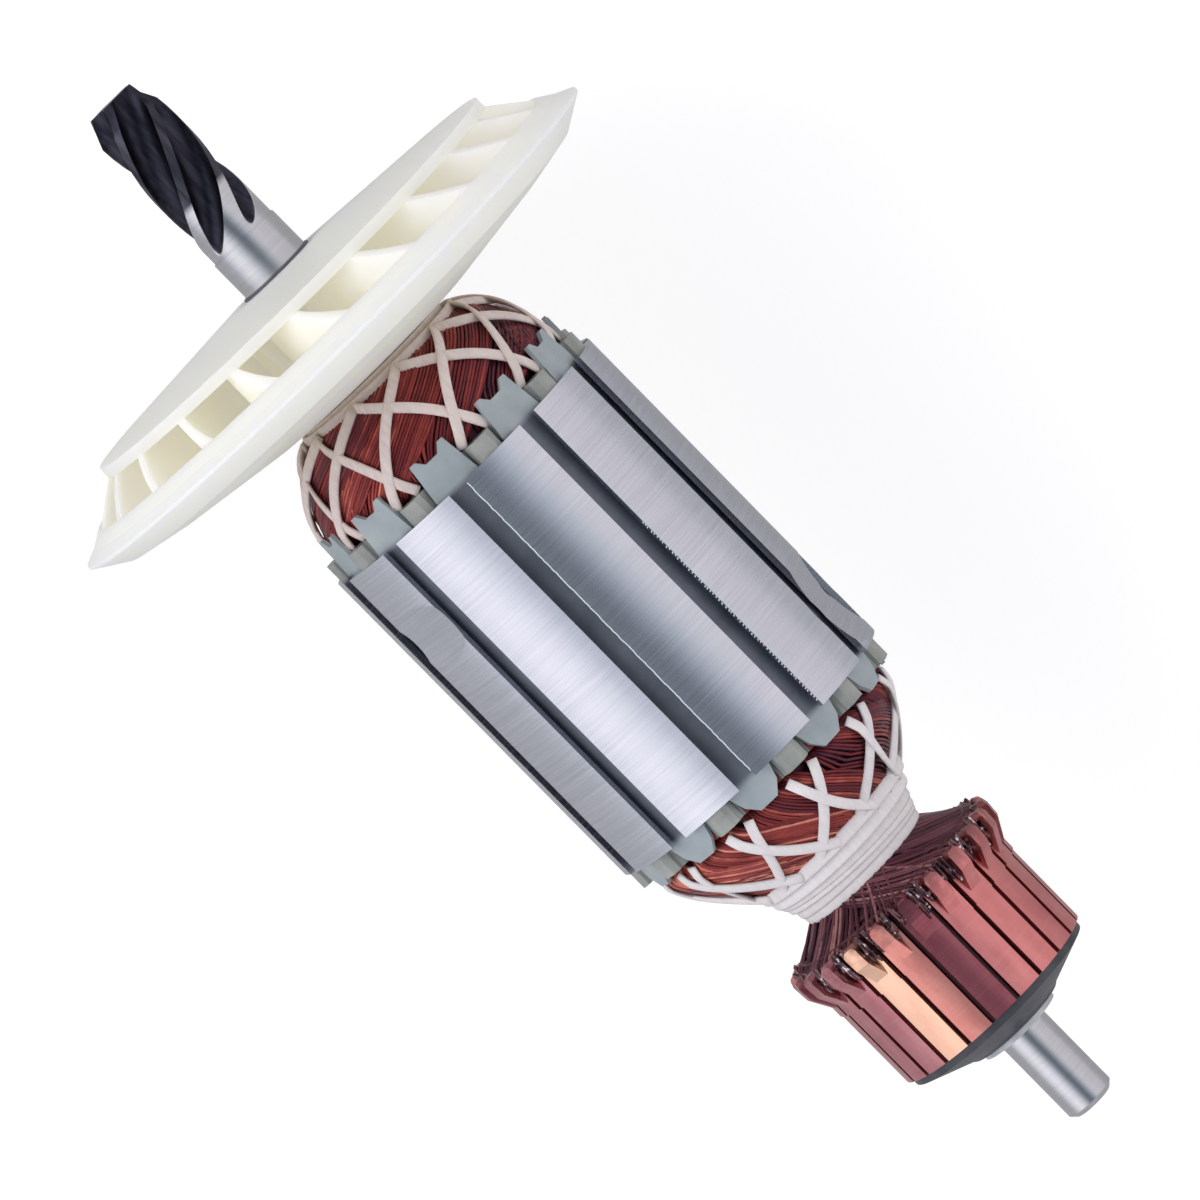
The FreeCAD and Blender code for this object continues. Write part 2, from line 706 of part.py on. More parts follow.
def make_bars():
    """Copper bars round the moulding, each with its hook folded over the wires."""
    body = new_body("commutator_bar")
    bar_outline = [
        ("bar_front", "bar_inner"),
        ("bar_front", "riser_radius"),
        ("track_start", "riser_radius"),
        ("track_start", "commutator_radius"),
        ("bar_end", "commutator_radius"),
        ("bar_end", "bar_inner"),
    ]
    section = draw(body, "bar_section", UPRIGHT, bar_outline)
    revolve(body, "bar", section, sweep="bar_sweep")
    hook_outline = [
        ("bar_front", "riser_radius - 0.5"),
        ("bar_front", "hook_top - hook_wall"),
        ("bar_front + 0.3*hook_wall", "hook_top - 0.3*hook_wall"),
        ("bar_front + 1.5*hook_wall", "hook_top"),
        ("bar_front + 0.5*hook_reach", "hook_top - 0.2*hook_wall"),
        ("bar_front + hook_reach", "riser_radius - 0.1"),
        ("bar_front + 0.8*hook_reach", "riser_radius - 0.1"),
        ("bar_front + 0.5*hook_reach", "hook_floor - 0.2*hook_wall"),
        ("bar_front + 1.5*hook_wall", "hook_floor"),
        ("bar_front + hook_wall", "riser_radius - 0.5"),
    ]
    hook = draw(body, "hook_outline", UPRIGHT, hook_outline)
    extrude(body, "hook", hook, "hook_width", midplane=True)
    for side, sign in (("left", "0 - "), ("right", "0 + ")):
        corner = [
            ("bar_front - 1", sign + "0.25*hook_width"),
            ("bar_front", sign + "0.25*hook_width"),
            ("bar_front + 0.35*hook_width", sign + "0.5*hook_width"),
            ("bar_front + 0.35*hook_width", sign + "0.6*hook_width"),
            ("bar_front - 1", sign + "0.6*hook_width"),
        ]
        sketch = draw(body, f"{side}_corner", ALONG, corner, "riser_radius")
        trim = extrude(body, f"{side}_rounding", sketch, "hook_room + hook_wall", "Pocket")
        trim.Reversed = True
    return copies(body, "commutator_bar", BARS, BAR_PHASE)


def make_moulding():
    """Phenolic body: a core under the bars, ribs between them and an end flange."""
    body = new_body("moulding")
    outline = [
        ("bar_front - 0.6", "sleeve_radius + fit_gap"),
        ("bar_front - 0.6", "rib_top + 0.1"),
        ("bar_front - fit_gap", "rib_top + 0.1"),
        ("bar_front - fit_gap", "bar_inner - fit_gap"),
        ("bar_end + fit_gap", "bar_inner - fit_gap"),
        ("bar_end + fit_gap", "flange_radius"),
        ("bar_end + flange_length", "flange_radius"),
        ("moulding_end - 0.4", "moulding_end_radius"),
        ("moulding_end", "moulding_end_radius - 0.5"),
        ("moulding_end", "sleeve_radius + fit_gap"),
    ]
    revolve(body, "moulded_core", draw(body, "moulding_section", ALONG, outline))
    rib_outline = [
        ("0 - rib_half", "bar_inner - 0.5"),
        ("0 - rib_half", "rib_top"),
        ("rib_half", "rib_top"),
        ("rib_half", "bar_inner - 0.5"),
    ]
    sketch = draw(body, "rib_outline", ACROSS, rib_outline, "bar_front - 0.3")
    rib = extrude(body, "rib", sketch, "bar_length + 0.6")
    repeat(body, "ribs", rib, BARS)
    return [seat(body, "commutator_moulding", BAR_PHASE + FULL_TURN / BARS / 2)]


# Winding

def front_dome(share):
    """Station and radius of the drive-end end turns, from the stack to the nose."""
    full = size("liner_top")
    nose = size("front_nose_radius")
    face = size("core_start - front_insulator_wall - fit_gap")
    fall = (1 - share ** DOME_FULLNESS) ** (1 / DOME_FULLNESS)
    return face - share * size("front_dome_length"), nose + (full - nose) * fall


def rear_dome(share):
    """Station and radius of the commutator-end end turns, from the stack to the neck."""
    full = size("liner_top")
    neck = size("neck_radius")
    face = size("core_end + rear_insulator_wall + fit_gap")
    fall = (1 + math.cos(math.pi * share)) / 2
    return face + share * size("rear_dome_length"), neck + (full - neck) * fall


def bundle_section(station, radius, turn, relief):
    """Ring of coil bundles, one to each slot, with a flat crest and a valley between."""
    pitch = FULL_TURN / SLOTS
    ring = []
    for slot in range(SLOTS):
        for part, drop in ((-0.5, relief), (-0.2, 0.0), (0.2, 0.0)):
            ring.append(turned(vector(station, 0, radius - drop), turn + (slot + part) * pitch))
    return ring


def end_turns(name, label, sections):
    """Skin the bundles over their sections, with a bore for the sleeve."""
    solid = skin(sections)
    bore_start = size("fan_front")
    bore_length = size("bar_front - fan_front")
    bore_radius = size("sleeve_radius + fit_gap")
    turns = doc.addObject("Part::Feature", name)
    turns.Shape = solid.cut(Part.makeCylinder(bore_radius, bore_length, vector(bore_start), AXIS))
    return [seat(turns, label, SLOT_PHASE)]


def slot_bundle():
    """Wires that fill one lined slot from one insulator to the other."""
    top = size("liner_top - fit_gap")
    foot = size("slot_foot")
    lining = 2 * DRIVING_SIZES["fit_gap"] + DRIVING_SIZES["liner_wall"]
    top_half = slot_half_width(top, lining)
    foot_half = slot_half_width(foot, lining)
    floor = size("liner_bore_floor + 4*fit_gap")
    start = front_dome(0)[0]
    finish = rear_dome(0)[0]
    half_outline = [(top_half, top), (foot_half, foot), (0.4 * foot_half, floor)]
    outline = half_outline + [(-across, up) for across, up in reversed(half_outline)]
    corners = [vector(start, across, up) for across, up in outline]
    return Part.Face(Part.makePolygon(corners + [corners[0]])).extrude(vector(finish - start))


def make_winding():
    relief = size("bundle_relief")
    front = []
    for share in (0.0, 0.3, 0.6, 0.85, 1.0):
        front.append(bundle_section(*front_dome(share), DOME_TWIST * share, relief))
    rear = []
    for share in (0.0, 0.33, 0.66, 0.83, 1.0):
        rear.append(bundle_section(*rear_dome(share), DOME_TWIST * share, relief))
    cone_end = size("bar_front - 1.2")
    cone_radius = size("bar_inner + 0.3*bar_depth")
    rear.append(bundle_section(cone_end, cone_radius, DOME_TWIST, relief))
    bundle = slot_bundle()
    bundles = []
    for slot in range(SLOTS):
        copy = bundle.copy()
        copy.rotate(vector(0), AXIS, slot * FULL_TURN / SLOTS)
        bundles.append(copy)
    conductors = doc.addObject("Part::Feature", "conductors")
    conductors.Shape = Part.Compound(bundles)
    pieces = end_turns("front_turns", "drive_end_windings", front)
    pieces += end_turns("rear_turns", "commutator_end_windings", rear)
    return pieces + [seat(conductors, "slot_windings", SLOT_PHASE)]


def cord_frames(spots):
    """For each point of a cord's path: the point, its side and its outward direction."""
    frames = []
    last = len(spots) - 1
    for step, spot in enumerate(spots):
        ahead = (spots[min(step + 1, last)] - spots[max(step - 1, 0)]).normalize()
        outward = vector(0, spot.y, spot.z).normalize()
        side = ahead.cross(outward).normalize()
        frames.append((spot, side, side.cross(ahead).normalize()))
    return frames


def make_leads():
    """Wire ends that fan out from the neck and pass under the hooks, one to each bar."""
    radius = size("lead_radius")
    pitch = FULL_TURN / BARS
    neck_station, neck = rear_dome(1)
    low = neck + size("lace_wall") + radius
    high = size("riser_radius + fit_gap") + radius
    crook = size("bar_front + 2*hook_wall") + radius
    bar_front = size("bar_front")
    leads = []
    for bar in range(BARS):
        hook_turn = BAR_PHASE + bar * pitch
        slit_turn = hook_turn - pitch / 2
        points = [
            turned(vector(neck_station + 0.2, 0, low), slit_turn - LEAD_LAG),
            turned(vector(neck_station + 0.4 * (bar_front - neck_station), 0, low + 1.2),
                   slit_turn - LEAD_LAG * 0.7),
            turned(vector(bar_front - 0.4, 0, high - 0.2), slit_turn - 1.0),
            turned(vector(crook, 0, high), slit_turn + pitch * 0.3),
            turned(vector(crook, 0, high), slit_turn + pitch * 0.8),
        ]
        rings = []
        for spot, side, normal in cord_frames(points):
            ring = []
            for part in range(LEAD_SIDES):
                angle = 2 * math.pi * (part + 0.5) / LEAD_SIDES
                ring.append(spot + side * radius * math.cos(angle) + normal * radius * math.sin(angle))
            rings.append(ring)
        leads.append(skin(rings))
    piece = doc.addObject("Part::Feature", "leads")
    piece.Shape = Part.Compound(leads)
    return [seat(piece, "commutator_leads")]


# Lacing

def lace(dome, way, tooth, side, lift, shares):
    """One flat cord over the end turns, between two shares of the dome's length."""
    width = size("lace_width") / 2
    wall = size("lace_wall")
    first, last = shares
    spots = []
    for step in range(LACE_STEPS + 1):
        share = first + (last - first) * step / LACE_STEPS
        station, radius = dome(share)
        swing = way["sweep"] * share + way["curl"] * share ** 4 - way["spread"]
        spots.append(turned(vector(station, 0, radius + lift), tooth + side * swing))
    rings = []
    for spot, side, normal in cord_frames(spots):
        rings.append([spot - side * width, spot + side * width,
                      spot + side * width + normal * wall, spot - side * width + normal * wall])
    return skin(rings)


def wraps(dome, first, last, count):
    """Turns of cord side by side round the dome, between two shares of its length."""
    wall = size("lace_wall")
    outline = []
    for half_turn in range(2 * count + 1):
        station, radius = dome(first + (last - first) * half_turn / count / 2)
        crest = WRAP_CREST if half_turn % 2 else WRAP_VALLEY
        outline.append(vector(station, 0, radius + wall * crest))
    for share in (last, (first + last) / 2, first):
        station, radius = dome(share)
        outline.append(vector(station, 0, radius + size("fit_gap")))
    ring = Part.Face(Part.makePolygon(outline + [outline[0]]))
    return ring.revolve(vector(0), AXIS, FULL_TURN)


def laced_net(name, dome, way, start, band, label):
    """Two crossing families of cord over one dome, tied by a band of wraps."""
    shares = (start, band[0] - 0.005)
    pitch = FULL_TURN / SLOTS
    lift = size("lace_lift")
    over = lift + size("1.4*lace_wall")
    cords = []
    for slot in range(SLOTS):
        tooth = SLOT_PHASE + (slot + 0.5) * pitch
        cords.append(lace(dome, way, tooth, 1, lift, shares))
        cords.append(lace(dome, way, tooth, -1, over, shares))
    net = doc.addObject("Part::Feature", name)
    net.Shape = Part.Compound([wraps(dome, *band)] + cords)
    return [seat(net, label)]


def make_lacings():
    front = laced_net("front_net", front_dome, FRONT_LACE, 0.02, (0.93, 0.995, 1),
                      "drive_end_lacing")
    rear = laced_net("rear_net", rear_dome, REAR_LACE, 0.07, (0.66, 1.0, LACE_WRAPS),
                     "commutator_end_lacing")
    return front + rear


def finish(pieces):
    """Check every object and write each piece to a file named after it."""
    doc.recompute()
    for item in doc.Objects:
        if "Invalid" in item.State or "Error" in item.State:
            raise RuntimeError(f"{item.Label} could not be built: {item.State}")
    os.makedirs("parts", exist_ok=True)
    for piece in pieces:
        if piece.Shape.isNull() or not piece.Shape.isValid():
            raise RuntimeError(f"{piece.Label} has no valid shape")
        piece.Shape.exportStep(f"parts/{piece.Label}.step")


def main():
    pieces = []
    for make in MAKERS:
        pieces += make()
    finish(pieces)


MAKERS = (make_shaft, make_sleeve, make_fan, make_core, make_insulators, make_liners, make_wedges,
          make_winding, make_leads, make_lacings, make_bars, make_moulding)

main()
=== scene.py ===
import math
import random

import bpy
from mathutils import Matrix, Vector


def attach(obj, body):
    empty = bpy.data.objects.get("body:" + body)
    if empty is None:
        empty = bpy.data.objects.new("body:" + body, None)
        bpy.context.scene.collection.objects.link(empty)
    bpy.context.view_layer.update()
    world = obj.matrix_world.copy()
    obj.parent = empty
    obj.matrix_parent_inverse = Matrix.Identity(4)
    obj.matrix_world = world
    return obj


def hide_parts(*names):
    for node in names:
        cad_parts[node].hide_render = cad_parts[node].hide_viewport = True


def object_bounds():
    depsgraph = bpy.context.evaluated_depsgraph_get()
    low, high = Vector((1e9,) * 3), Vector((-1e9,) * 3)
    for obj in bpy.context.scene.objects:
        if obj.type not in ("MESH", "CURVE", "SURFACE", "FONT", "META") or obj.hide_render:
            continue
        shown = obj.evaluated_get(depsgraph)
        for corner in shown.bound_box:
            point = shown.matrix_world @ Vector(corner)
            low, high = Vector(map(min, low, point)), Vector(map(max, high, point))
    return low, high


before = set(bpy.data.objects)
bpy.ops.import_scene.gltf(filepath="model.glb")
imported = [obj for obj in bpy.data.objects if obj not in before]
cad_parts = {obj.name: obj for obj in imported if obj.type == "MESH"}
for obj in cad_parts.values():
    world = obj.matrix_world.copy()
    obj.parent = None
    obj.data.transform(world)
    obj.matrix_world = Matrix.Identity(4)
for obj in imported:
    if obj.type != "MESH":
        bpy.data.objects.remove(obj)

cad_low, cad_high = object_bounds()
random.seed(11)

# Sizes are in millimetres, and turns in degrees about the shaft from +Z towards -Y.
# A station is measured along the shaft from its drive end.
MM = 0.001
ORIGIN_STATION = round(-cad_low.x / MM, 2)


def along(station):
    """X of a station, in metres."""
    return (station - ORIGIN_STATION) * MM


def at(station, radius, turn):
    """Point at a station, a distance from the shaft's axis and a turn about it."""
    angle = math.radians(turn)
    return Vector((along(station), -radius * math.sin(angle) * MM, radius * math.cos(angle) * MM))


def extent(node):
    """First and last station of a node of the frame, and its outer radius."""
    spots = [vertex.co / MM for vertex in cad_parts[node].data.vertices]
    stations = [spot.x + ORIGIN_STATION for spot in spots]
    radius = max(math.hypot(spot.y, spot.z) for spot in spots)
    return round(min(stations), 2), round(max(stations), 2), round(radius, 2)


# Sizes that the frame gives
FAN_FRONT = extent("fan")[0]
CORE_START, CORE_END, CORE_RADIUS = extent("lamination_stack")
FRONT_NOSE, FRONT_FACE, COIL_RADIUS = extent("drive_end_windings")
REAR_FACE = extent("commutator_end_windings")[0]
NECK = extent("commutator_end_lacing")[1]
BAR_FRONT, BAR_END = extent("commutator_bar_01")[:2]

# Counts and turns as in the part's source. A phase is the turn of the first slot or bar.
SLOTS = 11
SLOT_PITCH = 360.0 / SLOTS
SLOT_PHASE = 7.5
BARS = 22
BAR_PITCH = 360.0 / BARS
BAR_PHASE = -17.4
NECK_RADIUS = 9.0
RISER_RADIUS = 15.05
MARK_RADIUS = CORE_RADIUS - 0.02


def front_dome(share):
    """Station and radius of the drive-end dome, a share of the way from the core to its nose."""
    power = 1.85
    fall = max(0.0, 1 - share ** power) ** (1 / power)
    return FRONT_FACE - share * (FRONT_FACE - FRONT_NOSE), NECK_RADIUS + (COIL_RADIUS - NECK_RADIUS) * fall


def rear_dome(share):
    """Station and radius of the commutator-end dome, a share of the way from the core to its neck."""
    fall = (1 + math.cos(math.pi * share)) / 2
    return REAR_FACE + share * (NECK - REAR_FACE), NECK_RADIUS + (COIL_RADIUS - NECK_RADIUS) * fall


# Meshes

class Skin:
    """Collects swept cords and wires into one mesh, with a tone for each of them."""

    def __init__(self):
        self.points = []
        self.faces = []
        self.tones = []

    def add_point(self, point, tone):
        self.points.append(point)
        self.tones.append(tone)

    def add_walls(self, base, rows, sides, inward=False):
        """Join rows of points, from the point numbered base on, into the walls of a tube."""
        for row in range(rows - 1):
            for part in range(sides):
                a = base + row * sides + part
                b = base + row * sides + (part + 1) % sides
                self.faces.append((a, a + sides, b + sides, b) if inward else (a, b, b + sides, a + sides))

    def sweep(self, path, half_width, half_height, sides, tone, square=1.0, taper=0.0):
        """Sweep an oval, or a rounded strap where square is below 1, along a path."""
        last = len(path) - 1
        base = len(self.points)
        for step, spot in enumerate(path):
            ahead = (path[min(step + 1, last)] - path[max(step - 1, 0)]).normalized()
            outward = Vector((0, spot.y, spot.z)).normalized()
            side = ahead.cross(outward).normalized()
            normal = side.cross(ahead).normalized()
            scale = 1 - taper if step in (0, last) else 1.0
            for part in range(sides):
                angle = 2 * math.pi * (part + 0.5) / sides
                across = math.copysign(abs(math.cos(angle)) ** square, math.cos(angle))
                up = math.copysign(abs(math.sin(angle)) ** square, math.sin(angle))
                self.add_point(spot + side * (across * half_width * MM * scale)
                               + normal * (up * half_height * MM * scale), tone)
        self.add_walls(base, last + 1, sides)
        self.faces.append(tuple(base + part for part in reversed(range(sides))))
        self.faces.append(tuple(base + last * sides + part for part in range(sides)))

    def lathe(self, profile, tone):
        """Turn a profile of stations and radii about the shaft."""
        sides = 66
        base = len(self.points)
        for station, radius in profile:
            for part in range(sides):
                self.add_point(at(station, radius, 360.0 * part / sides), tone)
        self.add_walls(base, len(profile), sides, inward=True)

    def piece(self, name, material, slot, *nodes):
        """Make the mesh a visible piece, in place of any CAD nodes that are named."""
        mesh = bpy.data.meshes.new(name)
        mesh.from_pydata(self.points, [], self.faces)
        tone = mesh.attributes.new("tone", "FLOAT", "POINT")
        tone.data.foreach_set("value", self.tones)
        mesh.update()
        mesh.shade_smooth()
        mesh.materials.append(material)
        item = bpy.data.objects.new(name, mesh)
        bpy.context.scene.collection.objects.link(item)
        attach(item, "root")
        if nodes:
            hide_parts(*nodes)


# Materials

def put(tree, socket, value):
    """Link a node's output to a socket, or set the socket to a constant."""
    if hasattr(value, "links"):
        tree.links.new(value, socket)
    elif socket.type == "RGBA":
        socket.default_value = (*value, 1)
    else:
        socket.default_value = value


def set_stops(ramp, stops):
    """Give a colour ramp its stops, each a place from 0 to 1 and a colour."""
    entries = ramp.color_ramp.elements
    while len(entries) < len(stops):
        entries.new(0.5)
    for entry, (place, color) in zip(entries, stops):
        entry.position = place
        entry.color = (*color, 1)


class Paint:
    """A procedural material with a Principled shader."""

    def __init__(self, name, color, metallic, roughness, **sockets):
        self.material = bpy.data.materials.new(name)
        self.material.use_nodes = True
        self.tree = self.material.node_tree
        self.shader = self.tree.nodes["Principled BSDF"]
        self.feed(Base_Color=color, Metallic=metallic, Roughness=roughness, **sockets)
        self.object = self.add("ShaderNodeTexCoord").outputs["Object"]

    def feed(self, **sockets):
        """Set or link sockets of the shader, with an underscore for each space in a name."""
        for name, value in sockets.items():
            put(self.tree, self.shader.inputs[name.replace("_", " ")], value)

    def add(self, kind, inputs=(), **settings):
        """Add a node, with its inputs by name or number."""
        node = self.tree.nodes.new(kind)
        for name, value in settings.items():
            setattr(node, name, value)
        for name, value in dict(inputs).items():
            put(self.tree, node.inputs[name], value)
        return node

    def math(self, operation, first, second=0.0):
        return self.add("ShaderNodeMath", {0: first, 1: second}, operation=operation).outputs[0]

    def times(self, first, second):
        return self.math("MULTIPLY", first, second)

    def plus(self, first, second):
        return self.math("ADD", first, second)

    def axes(self):
        return self.add("ShaderNodeSeparateXYZ", {0: self.object}).outputs

    def radius(self):
        """Distance from the shaft's axis, in metres."""
        _, y, z = self.axes()
        return self.math("SQRT", self.plus(self.times(y, y), self.times(z, z)))

    def tone(self):
        """The tone that Skin gave each cord or wire."""
        return self.add("ShaderNodeAttribute", attribute_name="tone").outputs["Fac"]

    def noise(self, scale, detail=3.0, roughness=0.55):
        """Noise of a single scale, or of three along the axes."""
        vector = self.object
        if isinstance(scale, tuple):
            vector = self.add("ShaderNodeMapping", {"Vector": self.object, "Scale": scale}).outputs[0]
            scale = 1.0
        inputs = {"Vector": vector, "Scale": scale, "Detail": detail, "Roughness": roughness}
        return self.add("ShaderNodeTexNoise", inputs).outputs["Fac"]

    def ramp(self, factor, stops):
        node = self.add("ShaderNodeValToRGB", {0: factor})
        set_stops(node, stops)
        return node.outputs["Color"]

    def mix(self, factor, first, second):
        """Blend two colours."""
        node = self.add("ShaderNodeMix", data_type="RGBA")
        for name, value in (("Factor", factor), ("A", first), ("B", second)):
            socket = next(socket for socket in node.inputs if socket.name == name and socket.enabled)
            put(self.tree, socket, value)
        return next(socket for socket in node.outputs if socket.enabled)

    def span(self, value, low, high, bottom=0.0, top=1.0):
        """Map a value from low to high onto bottom to top, clamped."""
        inputs = {"Value": value, "From Min": low, "From Max": high, "To Min": bottom, "To Max": top}
        return self.add("ShaderNodeMapRange", inputs).outputs[0]

    def between(self, x, start, end):
        """0 at one station and 1 at another."""
        return self.span(x, along(start), along(end))

    def mottle(self, scale, dark, light):
        """Soft patches of two tones."""
        return self.mix(self.span(self.noise(scale, 4.0), 0.3, 0.7), dark, light)

    def bump(self, height, strength, depth):
        """Relief of a depth in millimetres."""
        inputs = {"Strength": strength, "Distance": depth * MM, "Height": height}
        self.feed(Normal=self.add("ShaderNodeBump", inputs).outputs[0])


PINION_END = 23.4
OXIDE_END = 15.6
LAND_RADIUS = 4.75
GRAIN_STRENGTH = 0.05
GRAIN_DEPTH = 0.1
TOOL_LINE_DEPTH = 0.03


def shaft_paint():
    """Ground steel, with black oxide in the flutes and on the first part of the lands."""
    paint = Paint("shaft_steel", (0.55, 0.55, 0.56), 1.0, 0.3)
    x = paint.axes()[0]
    radius = paint.radius()
    lines = paint.noise((2600, 60, 60), 2.0)
    cloud = paint.noise((120, 300, 300), 2.0)
    streaks = paint.noise((60, 900, 900), 2.0)
    steel = paint.mix(paint.span(lines, 0.3, 0.7), (0.54, 0.54, 0.57), (0.59, 0.59, 0.61))
    steel = paint.mix(paint.times(paint.span(cloud, 0.5, 0.75), 0.3), steel, (0.5, 0.46, 0.43))
    oxide = paint.mix(paint.span(streaks, 0.35, 0.7), (0.02, 0.02, 0.03), (0.05, 0.05, 0.07))
    land = paint.span(radius, (LAND_RADIUS - 0.25) * MM, LAND_RADIUS * MM)
    worn = paint.times(land, paint.span(streaks, 0.3, 0.6, 0.1, 0.6))
    oxide = paint.mix(worn, oxide, (0.12, 0.12, 0.15))
    before_seat = paint.between(x, OXIDE_END + 1.0, OXIDE_END)
    flute = paint.span(radius, (LAND_RADIUS + 0.01) * MM, (LAND_RADIUS - 0.05) * MM)
    in_flutes = paint.times(flute, paint.between(x, PINION_END, PINION_END - 0.1))
    dark = paint.math("MAXIMUM", before_seat, in_flutes)
    paint.feed(Base_Color=paint.mix(dark, steel, oxide), Roughness=paint.span(dark, 0.0, 1.0, 0.26, 0.38))
    paint.bump(lines, 0.06, TOOL_LINE_DEPTH)
    return paint.material


def core_paint():
    """Milled sheet edges: fine lines round each tooth, pale burnish in places."""
    paint = Paint("core_steel", (0.6, 0.62, 0.66), 1.0, 0.26)
    lines = paint.noise((3400, 50, 50), 3.0, 0.7)
    fine = paint.noise((9000, 160, 160), 2.0)
    cloud = paint.noise((70, 160, 160), 3.0)
    tone = paint.mix(paint.span(lines, 0.3, 0.7), (0.55, 0.56, 0.62), (0.7, 0.705, 0.76))
    tone = paint.mix(paint.times(paint.span(cloud, 0.4, 0.75), 0.3), tone, (0.55, 0.58, 0.63))
    tone = paint.mix(paint.times(paint.span(fine, 0.55, 0.75), 0.25), tone, (0.78, 0.8, 0.84))
    paint.feed(Base_Color=tone, Roughness=paint.span(lines, 0.25, 0.75, 0.22, 0.3))
    paint.bump(lines, 0.3, TOOL_LINE_DEPTH)
    return paint.material


# Lines of the fan's section that bound its hollow: station at the shaft's axis, and
# slope of the station with the radius.
DISC_BACK = (29.7, 0.071)
SHROUD_DISH = (46.9, -0.1714)
SHROUD_FLARE = (67.0, -0.8)
# Strength of the painted glow inside the fan's hollow
HOLLOW_PAINTED_GLOW = 0.1


def fan_paint():
    """Ivory nylon, with a painted glow: emission inside the hollow stands in for the light its thin walls
    pass on.
    """
    paint = Paint("fan_nylon", (0.94, 0.93, 0.83), 0.0, 0.45, Subsurface_Weight=1.0,
                  Subsurface_Radius=(1.0, 0.95, 0.7), Subsurface_Scale=0.005, IOR=1.4,
                  Emission_Color=(0.96, 0.95, 0.9))
    x = paint.axes()[0]
    radius = paint.radius()
    body = paint.mix(paint.span(paint.noise(45), 0.35, 0.7), (0.985, 0.955, 0.78), (0.99, 0.945, 0.82))
    rim = paint.span(radius, 33 * MM, 38 * MM)
    disc, dish, flare = [paint.plus(paint.times(radius, slope), along(station))
                         for station, slope in (DISC_BACK, SHROUD_DISH, SHROUD_FLARE)]
    behind_disc = paint.span(paint.math("SUBTRACT", x, disc), 0.2 * MM, 0.7 * MM)
    shroud = paint.math("MINIMUM", dish, flare)
    before_shroud = paint.span(paint.math("SUBTRACT", shroud, x), 0.0, 0.4 * MM)
    # Painted glow: the hollow between the disc and the shroud is made to emit light.
    inside = paint.times(behind_disc, before_shroud)
    paint.feed(Base_Color=paint.mix(rim, body, (0.99, 0.91, 0.84)),
               Emission_Strength=paint.times(inside, HOLLOW_PAINTED_GLOW))
    paint.bump(paint.noise(1400, 2.0), GRAIN_STRENGTH, GRAIN_DEPTH)
    return paint.material


def plain_paint(name, dark, light, roughness, scale):
    """Moulded or pressed material with a soft mottling and a fine grain."""
    paint = Paint(name, light, 0.0, roughness)
    paint.feed(Base_Color=paint.mottle(scale, dark, light))
    paint.bump(paint.noise(scale * 7, 2.0), GRAIN_STRENGTH, GRAIN_DEPTH)
    return paint.material


def phenolic_paint():
    """Dark moulding, stained red by the copper in the slits between the bars."""
    paint = Paint("phenolic", (0.05, 0.05, 0.06), 0.0, 0.45)
    body = paint.mottle(300, (0.026, 0.027, 0.036), (0.058, 0.06, 0.075))
    slits = paint.between(paint.axes()[0], BAR_END, BAR_END - 0.2)
    paint.feed(Base_Color=paint.mix(slits, body, (0.075, 0.016, 0.018)))
    paint.bump(paint.noise(2100, 2.0), GRAIN_STRENGTH, GRAIN_DEPTH)
    return paint.material


def fibre_paint():
    """Grey-green fibre strip, painted darker between the teeth as the shade of the narrow slots."""
    paint = Paint("wedge_fibre", (0.38, 0.44, 0.47), 0.0, 0.42)
    x = paint.axes()[0]
    tab = paint.mottle(220, (0.28, 0.325, 0.345), (0.37, 0.41, 0.43))
    # Painted shade: the strip is darker where it lies down in the slots between the teeth.
    slot_painted_shade = paint.mottle(220, (0.1, 0.11, 0.14), (0.15, 0.165, 0.2))
    slot_shade_mask = paint.times(paint.between(x, CORE_START - 0.3, CORE_START + 0.6),
                          paint.between(x, CORE_END + 0.3, CORE_END - 0.6))
    paint.feed(Base_Color=paint.mix(slot_shade_mask, tab, slot_painted_shade))
    paint.bump(paint.noise(1500, 2.0), GRAIN_STRENGTH, GRAIN_DEPTH)
    return paint.material


def copper_paint(name, light, dark):
    """Turned copper: tarnish in patches, fine lines round the track, and soot near the hooks."""
    paint = Paint(name, light, 1.0, 0.3)
    x = paint.axes()[0]
    lines = paint.noise((2600, 50, 50), 2.0)
    cloud = paint.noise((150, 420, 420), 4.0)
    tone = paint.mix(paint.span(cloud, 0.35, 0.72), light, dark)
    tone = paint.mix(paint.times(paint.span(lines, 0.5, 0.7), 0.1), tone, (0.9, 0.5, 0.42))
    soot = paint.times(paint.between(x, BAR_FRONT + 4.4, BAR_FRONT + 0.4),
                       paint.span(paint.noise(500, 4.0), 0.36, 0.58))
    tone = paint.mix(paint.times(soot, 0.6), tone, (0.1, 0.045, 0.055))
    paint.feed(Base_Color=tone, Roughness=paint.span(cloud, 0.3, 0.7, 0.26, 0.36))
    paint.bump(lines, 0.08, TOOL_LINE_DEPTH)
    return paint.material


def wire_paint(name, stops, roughness):
    """Enamelled wire whose colour follows the tone of each strand."""
    paint = Paint(name, stops[0][1], 0.35, roughness, Specular_IOR_Level=0.25)
    blotch = paint.span(paint.noise(420), 0.3, 0.7, -0.08, 0.08)
    paint.feed(Base_Color=paint.ramp(paint.plus(paint.tone(), blotch), stops))
    return paint.material


def cord_paint(name, dark, light):
    """Flat braided cord, each length with a tone of its own."""
    paint = Paint(name, light, 0.0, 0.7, Sheen_Weight=0.1)
    fibres = paint.noise((400, 1500, 1500), 3.0, 0.6)
    value = paint.plus(paint.times(paint.tone(), 0.5), paint.span(fibres, 0.3, 0.7, 0.0, 0.5))
    paint.feed(Base_Color=paint.mix(value, dark, light))
    paint.bump(fibres, 0.2, 0.06)
    return paint.material


